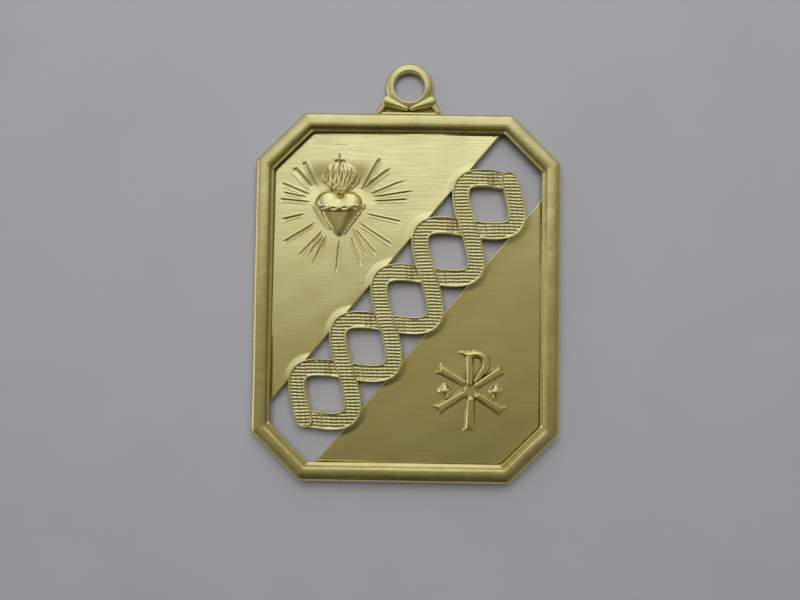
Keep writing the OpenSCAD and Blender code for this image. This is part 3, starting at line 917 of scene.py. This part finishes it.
def rib_height(sizes, x, y):
    """Ribs along X: a rounded wave in Y that wanders a little with X, with small swellings along each
    rib."""
    pitch = sizes.rib_pitch
    wander = 0.014 * np.sin(2.1 * x + 0.7) + 0.010 * np.sin(5.3 * x + 3.0 * y)
    wave = 0.5 + 0.5 * np.cos(2 * np.pi * (y + wander) / pitch)
    beads = 0.72 + 0.28 * np.sin(15.0 * x + 6.8 * np.round((y + wander) / pitch))
    return sizes.rib_depth * (wave ** 0.8 * beads - 1)


def strand_shell(sizes, border, side):
    """One strand: a flat section with round upper edges carried along its cosine, with round ends. Its
    top has ribs between two smooth rims, and dips where the strand passes under the other one."""
    line, u = strand_line(sizes, side, count=4000)
    steps = np.r_[0, np.cumsum(np.linalg.norm(np.diff(line, axis=0), axis=1))]
    half = sizes.strand_width / 2
    cap = half * np.sin(np.linspace(0, np.pi / 2, 15))[1:]
    reach = np.r_[-cap[::-1], np.linspace(0, steps[-1], 830), steps[-1] + cap]
    middle = np.column_stack([np.interp(reach, steps, line[:, k]) for k in (0, 1)])
    ahead = np.gradient(line, steps, axis=0)
    ahead = np.column_stack([np.interp(reach, steps, ahead[:, k]) for k in (0, 1)])
    ahead /= np.linalg.norm(ahead, axis=1)[:, None]
    past = np.where(reach < 0, reach, np.where(reach > steps[-1], reach - steps[-1], 0))
    middle = middle + past[:, None] * ahead
    width = np.sqrt(np.clip(half ** 2 - past ** 2, 0.012 ** 2, None))
    s = np.r_[-1, -0.99, -0.97, -0.94, np.linspace(-0.9, 0.9, 25), 0.94, 0.97, 0.99, 1]
    sideways = np.column_stack([-ahead[:, 1], ahead[:, 0]])
    plan = middle[:, None, :] + (width[:, None] * s)[..., None] * sideways[:, None, :]
    x, y = plan[..., 0], plan[..., 1]
    from_edge = width[:, None] * (1 - np.abs(s))
    rim = sizes.rim_width
    z = sizes.plate_thickness + sizes.strand_rise
    top = z + rib_height(sizes, x, y) * smooth(from_edge, rim * 0.75, rim * 1.5)
    top = top + 0.012 * bump(from_edge - rim * 0.5, rim * 0.35)
    top = top - round_fall(from_edge, 0.05)
    for k in range(sizes.eyes + 1):
        cross = (k - sizes.eyes / 2) * sizes.eye_pitch
        on_top = 1 if k % 2 == 0 else -1
        away = np.abs(reach - np.interp(cross, u, steps))[:, None]
        if on_top != side:
            top = top - sizes.weave_dip * (1 - smooth(away, 0.85, 1.9))
        else:
            top = top + 0.03 * (1 - smooth(away, 0.2, 1.3))
    back = 0.02 if side == 1 else 0.035  # Unlike heights, so that the strands share no flat face
    left, right = plan[:, :1], plan[:, -1:]
    plan = np.concatenate([left, left, plan, right, right], axis=1)
    plan[..., 1] += body_centre(border)
    foot = np.full((len(reach), 1), back)
    return tube(np.dstack([plan, np.hstack([foot, foot + 0.5, top, foot + 0.5, foot])]))


# Materials

class Nodes:
    """Makes and links the nodes of a material or of the world. Its places are in millimetres or, for the
    world, a direction of length 1. Each input is given a socket, a number or a linear colour."""

    def __init__(self, owner, coordinates="Object", scale=1000):
        owner.use_nodes = True
        self.owner = owner
        self.tree = owner.node_tree
        where = self.add("ShaderNodeTexCoord").outputs[coordinates]
        self.place = self.mapped(where, (scale, scale, scale))

    def fill(self, node, inputs):
        """Links a socket to each input of a node that is given one, and sets the others."""
        for name, value in inputs.items():
            if isinstance(value, bpy.types.NodeSocket):
                self.tree.links.new(value, node.inputs[name])
            elif node.inputs[name].type == "RGBA":
                node.inputs[name].default_value = (*value, 1)
            else:
                node.inputs[name].default_value = value
        return node

    def add(self, kind, inputs=None, **settings):
        """A node with its inputs and its plain settings."""
        node = self.tree.nodes.new(kind)
        for name, value in settings.items():
            setattr(node, name, value)
        return self.fill(node, inputs or {})

    def mapped(self, source, scale, location=(0, 0, 0)):
        """Coordinates scaled and shifted."""
        inputs = {"Vector": source, "Scale": scale, "Location": location}
        return self.add("ShaderNodeMapping", inputs).outputs["Vector"]

    def noise(self, scale, detail=2, stretch=(1, 1, 1), shift=(0, 0, 0)):
        """Noise in millimetres, stretched along the axes."""
        inputs = {"Vector": self.mapped(self.place, stretch, shift), "Scale": scale, "Detail": detail}
        return self.add("ShaderNodeTexNoise", inputs).outputs["Fac"]

    def ramp(self, source, low, high, start=0.0, end=1.0):
        """A value spread from one range to another, and held at its ends."""
        inputs = {"Value": source, "From Min": low, "From Max": high, "To Min": start, "To Max": end}
        return self.add("ShaderNodeMapRange", inputs, interpolation_type="SMOOTHSTEP").outputs["Result"]

    def maths(self, operation, a, b):
        """One sum on two values."""
        return self.add("ShaderNodeMath", {0: a, 1: b}, operation=operation).outputs[0]

    def mix(self, factor, a, b):
        """A mix of two colours, which are the node's seventh and eighth input and its third output."""
        return self.add("ShaderNodeMix", {0: factor, 6: a, 7: b}, data_type="RGBA").outputs[2]

    def attribute(self, name):
        """A number that the mesh holds at each point."""
        return self.add("ShaderNodeAttribute", attribute_name=name).outputs["Fac"]

    def raise_bump(self, height, distance, strength, before=None):
        """A bump in millimetres, on top of an earlier one."""
        inputs = {"Height": height, "Distance": distance * MM, "Strength": strength}
        if before:
            inputs["Normal"] = before
        return self.add("ShaderNodeBump", inputs).outputs["Normal"]

    def surface(self, **inputs):
        """Fills the inputs of the material's shader, whose names are written with _ for a space."""
        inputs = {name.replace("_", " "): value for name, value in inputs.items()}
        self.fill(self.tree.nodes["Principled BSDF"], inputs)
        return self.owner


def toned(tone, *factors):
    """A colour with each of its parts times a factor."""
    return [part * factor for part, factor in zip(tone, factors)]


def polished_brass(finishes):
    """Polished brass with soft handling marks: slow patches in colour and roughness, and fine scratches.
    Its colour is mixed towards a dark tone by the tarnish_and_shade attribute, which on the border is
    painted shade on the steep inner walls, at the seam beside the plate and on the floor under the bow."""
    n = Nodes(bpy.data.materials.new("polished_border"))
    patches = n.noise(0.55, 3)
    blotches = n.noise(2.6, 4, shift=(7, 3, 1))
    smears = n.noise(1.1, 3, stretch=(0.5, 1.6, 1), shift=(3, 9, 0))
    warm = toned(finishes.polished, 0.93, 0.9, 0.8)
    base = n.mix(n.ramp(patches, 0.35, 0.7), finishes.polished, warm)
    # Mix towards the dark tone: painted shade, read from the mesh's tarnish_and_shade attribute.
    tarnish_and_shade_mix = n.maths("MULTIPLY", n.attribute("tarnish_and_shade"), n.ramp(blotches, 0.25, 0.7, 0.6, 1))
    rough = n.maths("ADD", n.ramp(smears, 0.35, 0.75, 0, 0.12), finishes.polished_roughness - 0.03)
    rough = n.maths("ADD", rough, n.ramp(blotches, 0.45, 0.75, 0, 0.08))
    slow = n.raise_bump(n.noise(0.4, shift=(8, 2, 5)), 0.09, 0.6)
    dents = n.raise_bump(n.noise(1.5, shift=(1, 5, 2)), 0.02, 0.3, slow)
    return n.surface(
        Metallic=1, Base_Color=n.mix(tarnish_and_shade_mix, base, finishes.tarnish_and_shade),
        Roughness=n.maths("ADD", rough, n.maths("MULTIPLY", tarnish_and_shade_mix, 0.25)),
        Normal=n.raise_bump(n.noise(6, shift=(4, 4, 4)), 0.001, 0.4, dents),
    )


def satin_brass(finishes):
    """Brushed brass: long fine streaks along X in height and roughness, and smoother where the reliefs were
    polished. It is darker where the tarnish_and_shade attribute says: tarnish together with painted shade in
    the hollows and rib grooves, and painted shade on steep walls and at the seam. It is made once and
    shared."""
    if "brushed_plate" in bpy.data.materials:
        return bpy.data.materials["brushed_plate"]
    n = Nodes(bpy.data.materials.new("brushed_plate"))
    polish = n.attribute("polish")
    patches = n.noise(0.35, 3, stretch=(0.7, 1.3, 1))
    streaks = n.noise(9, stretch=(0.04, 1, 1), shift=(0, 2, 0))
    hairs = n.noise(4, stretch=(0.05, 1, 1), shift=(5, 0, 0))
    warm, dark = toned(finishes.satin, 0.95, 0.93, 0.86), toned(finishes.satin, 0.8, 0.8, 0.8)
    base = n.mix(n.ramp(patches, 0.3, 0.7), finishes.satin, warm)
    base = n.mix(n.ramp(streaks, 0.35, 0.75, 0, 0.4), base, dark)
    blotches = n.ramp(n.noise(2.5, 3, shift=(2, 2, 2)), 0.25, 0.7, 0.6, 1)
    # Mix towards the dark tone: tarnish and painted shade, read from the mesh's tarnish_and_shade attribute.
    tarnish_and_shade_mix = n.maths("MULTIPLY", n.attribute("tarnish_and_shade"), blotches)
    brushed = n.maths("ADD", n.ramp(streaks, 0.3, 0.7, -0.05, 0.06), finishes.satin_roughness)
    rough = n.maths("SUBTRACT", brushed, n.maths("MULTIPLY", polish, 0.12))
    fine = n.raise_bump(hairs, 0.002, n.maths("SUBTRACT", 0.9, n.maths("MULTIPLY", polish, 0.75)))
    broad = n.raise_bump(streaks, 0.0035, 0.8, fine)
    tangent = n.add("ShaderNodeTangent", direction_type="UV_MAP", uv_map="grain")
    return n.surface(
        Metallic=1, Anisotropic=0.3, Anisotropic_Rotation=0.25, Tangent=tangent.outputs["Tangent"],
        Base_Color=n.mix(tarnish_and_shade_mix, base, finishes.tarnish_and_shade),
        Roughness=n.maths("ADD", rough, n.maths("MULTIPLY", tarnish_and_shade_mix, 0.2)),
        Normal=n.raise_bump(n.noise(1.2, shift=(1, 5, 2)), 0.012, 0.3, broad),
    )


def paper(finishes):
    """Plain uncoated paper: soft clouds of tone and a fine fibre bump."""
    n = Nodes(bpy.data.materials.new("paper"))
    fibres = n.noise(3, 4, stretch=(1, 0.6, 1))
    clouds = n.ramp(n.noise(0.12, 3), 0.3, 0.7)
    tone = n.mix(clouds, finishes.paper, toned(finishes.paper, 0.965, 0.965, 0.965))
    tone = n.mix(n.ramp(fibres, 0.3, 0.75, 0, 0.5), tone, toned(finishes.paper, 0.97, 0.97, 0.97))
    return n.surface(
        Base_Color=tone, Roughness=0.95, Specular_IOR_Level=0.2, Normal=n.raise_bump(fibres, 0.03, 0.25),
    )


# Light for directions from the bottom's side to the bail's side
SKY = (
    (-1, (0.06, 0.055, 0.045)), (-0.5, (0.075, 0.07, 0.055)), (-0.3, (0.15, 0.14, 0.1)),
    (-0.2, (0.235, 0.22, 0.157)), (-0.1, (0.29, 0.27, 0.187)), (0, (0.312, 0.291, 0.205)),
    (0.06, (0.34, 0.33, 0.245)), (0.12, (0.46, 0.46, 0.4)), (0.2, (0.74, 0.76, 0.78)),
    (0.27, (0.88, 0.915, 0.97)), (0.5, (0.92, 0.96, 1.03)), (0.8, (1.0, 1.04, 1.1)),
)
STRIP = (0.75, 0.76, 0.74)  # Light of the strip low on the left
BACKDROP = (0.33, 0.33, 0.345)  # What the camera itself sees beyond the paper


# Operators

def hollows(heights, spacing, reach):
    """How far each place of a height map lies below the mean of what is round it: a box mean, taken
    three times along each direction, less the map itself."""
    mean, size = heights, max(1, round(reach / spacing))
    for _ in range(2):
        for _ in range(3):
            total = np.cumsum(np.pad(mean, ((size + 1, size), (0, 0)), "edge"), axis=0)
            mean = (total[2 * size + 1:] - total[:-2 * size - 1]) / (2 * size + 1)
        mean = mean.T
    return mean - heights


def sample(grid, low, spacing, x, y):
    """Values of a map at places between its points, mixed from the four nearest."""
    fx = np.clip((x - low[0]) / spacing, 0, grid.shape[0] - 1.001)
    fy = np.clip((y - low[1]) / spacing, 0, grid.shape[1] - 1.001)
    i, j = fx.astype(int), fy.astype(int)
    a, b = fx - i, fy - j
    return (grid[i, j] * (1 - a) * (1 - b) + grid[i + 1, j] * a * (1 - b)
            + grid[i, j + 1] * (1 - a) * b + grid[i + 1, j + 1] * a * b)


class MEDAL_OT_border_and_bail(bpy.types.Operator):
    """Build the polished border with its ring and the bow of ribbon under it"""

    bl_idname = "medal.border_and_bail"
    bl_label = "Border and Bail"

    def execute(self, context):
        sizes = in_millimetres(context.scene.medal_border)
        shells = [border_shell(sizes), ring_shell(sizes), *bow_shells(sizes)]
        meshes = [make_mesh(f"border_part_{k}", *shell) for k, shell in enumerate(shells)]
        piece = fuse("border_and_bail", meshes)
        x, y, z = body_places(sizes, piece.data)
        inwards, above = body_inset(sizes, x, y), y - sizes.body_height / 2
        # Painted shade: the steep inner walls, the seam beside the plate and the low floor under the bow are
        # darkened in colour where shade falls.
        inner = smooth(inwards, 1.1, 1.2)
        seam = smooth(inwards, 1.51, 1.55) * (1 - smooth(z, 0.98, 1.04))
        shade_under_bow = smooth(above, 0.05, 0.2) * (1 - smooth(above, 0.9, 1.1)) * (1 - smooth(z, 0.55, 0.9))
        tarnish_and_shade = 0.35 * inner * steepness(piece.data) + 0.3 * seam + 0.5 * shade_under_bow
        set_attribute(piece.data, "tarnish_and_shade", np.clip(tarnish_and_shade, 0, 1))
        material = polished_brass(context.scene.medal_finishes)
        finish_piece(piece, "frame", material, sharp_angle=40)
        return {"FINISHED"}


def build_plate(context, name, side, pole, reach, count, spacing, relief):
    """One half of the plate with its relief, and its polish and darkening from a map of its height: what
    stands above the plate is polished, its hollows are darkened with tarnish together with painted shade,
    and its steep walls and the seam beside the border with painted shade."""
    scene = context.scene
    border, panel = in_millimetres(scene.medal_border), in_millimetres(scene.medal_panel)
    emblems = in_millimetres(scene.medal_emblems)

    def height(x, y):
        return relief(border, panel, emblems, x, y)

    shell = plate_shell(panel, border, side, np.array(pole), reach, count, spacing, height)
    mesh = make_mesh(name, *shell)
    check_closed(mesh)
    x, y, z = body_places(border, mesh)
    low = (x.min() - 0.2, y.min() - 0.2)
    places = [np.arange(low[0], x.max() + 0.2, MAP_STEP), np.arange(low[1], y.max() + 0.2, MAP_STEP)]
    heights = height(*np.meshgrid(*places, indexing="ij"))
    deep = sample(hollows(heights, MAP_STEP, 0.12), low, MAP_STEP, x, y)
    high = z - panel.plate_thickness
    raised = smooth(high, -0.05, 0.0)
    # Painted shade: the seam beside the border is darkened where the border shades the plate.
    seam = 0.25 * (1 - smooth(body_inset(border, x, y), 1.57, 1.63))
    # Tarnish together with painted shade in the hollows round the reliefs, and painted shade on their steep
    # walls.
    tarnish_and_shade = 0.5 * smooth(deep, 0.03, 0.12) + 0.72 * raised * steepness(mesh)
    set_attribute(mesh, "tarnish_and_shade", np.clip(np.maximum(tarnish_and_shade, seam), 0, 0.9))
    polish = smooth(high, 0.05, 0.14) + smooth(-deep, 0.008, 0.025)
    set_attribute(mesh, "polish", np.clip(polish, 0, 1))
    set_grain(mesh)
    material = satin_brass(scene.medal_finishes)
    finish_piece(add_object(name, mesh), "panel", material, sharp_angle=50)


class MEDAL_OT_heart_plate(bpy.types.Operator):
    """Build the upper left half of the plate, with the heart, its flames and its rays"""

    bl_idname = "medal.heart_plate"
    bl_label = "Heart Plate"

    def execute(self, context):
        build_plate(
            context, "heart_plate", side=1, pole=(-5.61, 8.17), reach=4.35, count=700, spacing=0.056,
            relief=heart_plate_height,
        )
        return {"FINISHED"}


class MEDAL_OT_sign_plate(bpy.types.Operator):
    """Build the lower right half of the plate, with the barred sign and its rosettes"""

    bl_idname = "medal.sign_plate"
    bl_label = "Sign Plate"

    def execute(self, context):
        build_plate(
            context, "sign_plate", side=-1, pole=SIGN_AT, reach=3.95, count=620, spacing=0.052,
            relief=sign_plate_height,
        )
        return {"FINISHED"}


class MEDAL_OT_woven_band(bpy.types.Operator):
    """Build the two ribbed strands that are woven through each other across the slot"""

    bl_idname = "medal.woven_band"
    bl_label = "Woven Band"

    def execute(self, context):
        scene = context.scene
        border, panel = in_millimetres(scene.medal_border), in_millimetres(scene.medal_panel)
        meshes = [make_mesh(f"strand_{side}", *strand_shell(panel, border, side)) for side in (1, -1)]
        piece = fuse("woven_band", meshes)
        x, y, z = body_places(border, piece.data)
        grooves = -rib_height(panel, x, y) / panel.rib_depth
        on_top = smooth(z, 0.75, 0.9)
        on_ribs = 1 - smooth(from_strands(panel, x, y, 240), 0.5, 0.6)
        # Tarnish together with painted shade in the grooves between the ribs.
        set_attribute(piece.data, "tarnish_and_shade", on_top * on_ribs * 0.62 * smooth(grooves, 0.5, 0.95))
        set_attribute(piece.data, "polish", on_top * (1 - 0.6 * on_ribs * smooth(grooves, 0.2, 0.8)))
        set_grain(piece.data)
        finish_piece(piece, "panel", satin_brass(scene.medal_finishes), sharp_angle=50)
        return {"FINISHED"}


class MEDAL_OT_stage(bpy.types.Operator):
    """Set up the paper, the soft lights and the camera over the medal"""

    bl_idname = "medal.stage"
    bl_label = "Stage"

    def execute(self, context):
        stage = context.scene.medal_stage
        self.add_paper(context.scene.medal_finishes)
        self.add_camera(context.scene, stage)
        self.add_key_light(stage)
        self.add_sky(context.scene, stage)
        context.scene.view_settings.view_transform = "Standard"
        return {"FINISHED"}

    @staticmethod
    def add_paper(finishes):
        """A flat sheet at the height of the medal's back."""
        half = 0.75
        corners = [(-half, -half, 0), (half, -half, 0), (half, half, 0), (-half, half, 0)]
        mesh = bpy.data.meshes.new("paper")
        mesh.from_pydata(corners, [], [(0, 1, 2, 3)])
        mesh.materials.append(paper(finishes))
        add_object("paper", mesh)

    @staticmethod
    def add_camera(scene, stage):
        """The camera at the photograph's place, turned about X, then Y, then Z."""
        data = bpy.data.cameras.new("camera")
        data.sensor_width = 36
        data.lens = data.sensor_width / 2 / math.tan(stage.field_of_view / 2)
        data.clip_start, data.clip_end = 0.002, 5
        camera = add_object("camera", data)
        turns = [Matrix.Rotation(angle, 4, axis) for angle, axis in zip(stage.camera_turn, "XYZ")]
        camera.matrix_world = Matrix.Translation(Vector(stage.camera_place)) @ turns[0] @ turns[1] @ turns[2]
        scene.camera = camera

    @staticmethod
    def add_key_light(stage):
        """A soft rectangular light that looks at the medal and isn't seen itself, in the metal neither."""
        data = bpy.data.lights.new("key_light", "AREA")
        data.shape, data.size, data.size_y = "RECTANGLE", 0.12, 0.1
        data.energy, data.color = stage.key_power, (1, 0.99, 0.99)
        light = add_object("key_light", data)
        light.location = (-0.005, 0.06, 0.15)
        light.rotation_euler = (-light.location).to_track_quat("-Z", "Y").to_euler()
        light.visible_camera = light.visible_glossy = False

    @staticmethod
    def add_sky(scene, stage):
        """Light by direction: dark where the camera stands and beyond it, and bright and cool from the
        side that the bail points to. It changes with Y less a little of X, and fades into an even light
        towards both sides with a bell curve in X. A brighter strip lies low on the left. What the camera
        itself sees beyond the paper is plain and pale."""
        scene.world = bpy.data.worlds.new("sky")
        n = Nodes(scene.world, "Generated", 1)
        split = n.add("ShaderNodeSeparateXYZ", {0: n.place}).outputs
        lean = n.maths("SUBTRACT", split["Y"], n.maths("MULTIPLY", split["X"], 0.2))
        from_0_to_1 = n.maths("ADD", n.maths("MULTIPLY", lean, 0.5), 0.5)
        ramp = n.add("ShaderNodeValToRGB", {"Fac": from_0_to_1})
        stops = ramp.color_ramp.elements
        stops.remove(stops[1])
        for place, tone in SKY:
            stop = stops[0] if place == SKY[0][0] else stops.new((place + 1) / 2)
            stop.position = (place + 1) / 2
            stop.color = (*[c / stage.sky_strength for c in tone], 1)
        aside = n.maths("MULTIPLY", split["X"], split["X"])
        spread = n.maths("EXPONENT", n.maths("MULTIPLY", aside, -2.8), 0)
        even = [c / stage.sky_strength for c in stage.side_light]
        light = n.mix(spread, even, ramp.outputs["Color"])
        light = n.mix(n.ramp(split["X"], -0.74, -0.9), light, STRIP)
        seen = n.add("ShaderNodeLightPath").outputs["Is Camera Ray"]
        inputs = {"Color": n.mix(seen, light, BACKDROP), "Strength": stage.sky_strength}
        n.fill(n.tree.nodes["Background"], inputs)


class MEDAL_PT_sidebar(bpy.types.Panel):
    """Sizes, finishes and steps of the medal"""

    bl_idname = "MEDAL_PT_sidebar"
    bl_label = "Pierced Brass Medal"
    bl_space_type = "VIEW_3D"
    bl_region_type = "UI"
    bl_category = "Medal"

    def draw(self, context):
        for group in GROUPS:
            box = self.layout.box()
            settings = getattr(context.scene, group)
            for name in settings_of(settings):
                box.prop(settings, name)
        for operator in OPERATORS:
            self.layout.operator(operator.bl_idname)


GROUPS = {
    "medal_border": BorderSizes, "medal_panel": PanelSizes, "medal_emblems": EmblemSizes,
    "medal_finishes": Finishes, "medal_stage": StageSizes,
}
OPERATORS = (
    MEDAL_OT_stage, MEDAL_OT_border_and_bail, MEDAL_OT_heart_plate, MEDAL_OT_sign_plate, MEDAL_OT_woven_band,
)
CLASSES = (*GROUPS.values(), *OPERATORS, MEDAL_PT_sidebar)


def register():
    for kind in CLASSES:
        bpy.utils.register_class(kind)
    for name, kind in GROUPS.items():
        setattr(bpy.types.Scene, name, PointerProperty(type=kind))


def unregister():
    for name in GROUPS:
        delattr(bpy.types.Scene, name)
    for kind in reversed(CLASSES):
        bpy.utils.unregister_class(kind)


def main():
    """Builds the stage and each piece in order."""
    register()
    bpy.ops.medal.stage()
    bpy.ops.medal.border_and_bail()
    bpy.ops.medal.heart_plate()
    bpy.ops.medal.sign_plate()
    bpy.ops.medal.woven_band()
    bpy.context.view_layer.update()


if __name__ == "__main__":
    main()
